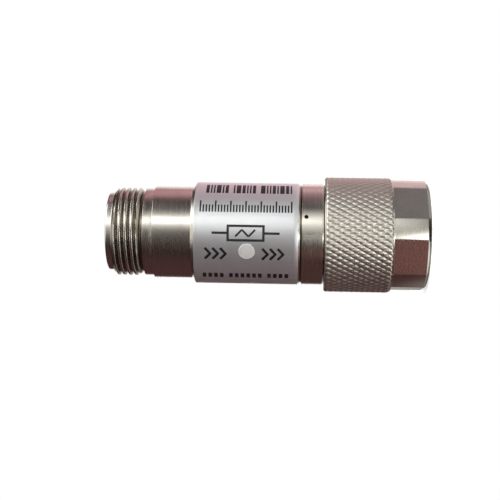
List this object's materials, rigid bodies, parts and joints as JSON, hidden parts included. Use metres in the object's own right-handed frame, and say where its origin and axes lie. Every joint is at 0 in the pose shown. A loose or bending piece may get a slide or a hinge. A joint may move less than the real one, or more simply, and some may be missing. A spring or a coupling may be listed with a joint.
{
  "type": "coaxial rf attenuator",
  "caption": "Round inline coaxial attenuator: knurled coupling nut with a hexagon over a plug contact at one end, labelled barrel, externally threaded jack at the other.",
  "frame": {"origin": "middle of the coupling nut's front face, on the common axis, where the attenuator stands on its plug end", "axes": "+Z along the common axis from the plug end to the jack end, -Y towards the printed side of the label, +X to the right of it"},
  "size_m": [0.0206, 0.0206, 0.057],
  "materials": {
    "nickel": "fine turned nickel plate, satin",
    "spring_steel": "bright spring steel",
    "gold": "gold plate over beryllium copper",
    "ptfe": "natural white ptfe",
    "gasket": "silicone rubber",
    "label": "printed silver foil",
    "dot": "matt grey sticker",
    "ceramic": "fired alumina"
  },
  "bodies": {
    "attenuator_body": {"plug_body": "nickel", "retaining_ring": "spring_steel", "plug_outer_contact": "nickel", "gasket": "gasket", "plug_pin": "gold", "plug_bead": "ptfe", "plug_bead_retainer": "nickel", "barrel": "nickel", "label": "label", "inspection_dot": "dot", "card_holder_front": "nickel", "card_holder_rear": "nickel", "attenuator_card": "ceramic", "plug_card_contact": "gold", "jack_card_contact": "gold", "jack_bead_retainer": "nickel", "jack_bead": "ptfe", "jack_socket": "gold", "jack_shell": "nickel"},
    "nut": {"coupling_nut": "nickel"}
  },
  "joints": [
    {"name": "nut_spin", "type": "hinge", "parent": "attenuator_body", "child": "nut", "pos_m": [0, 0, 0.0157], "axis": [0, 0, 1], "continuous": true}
  ]
}
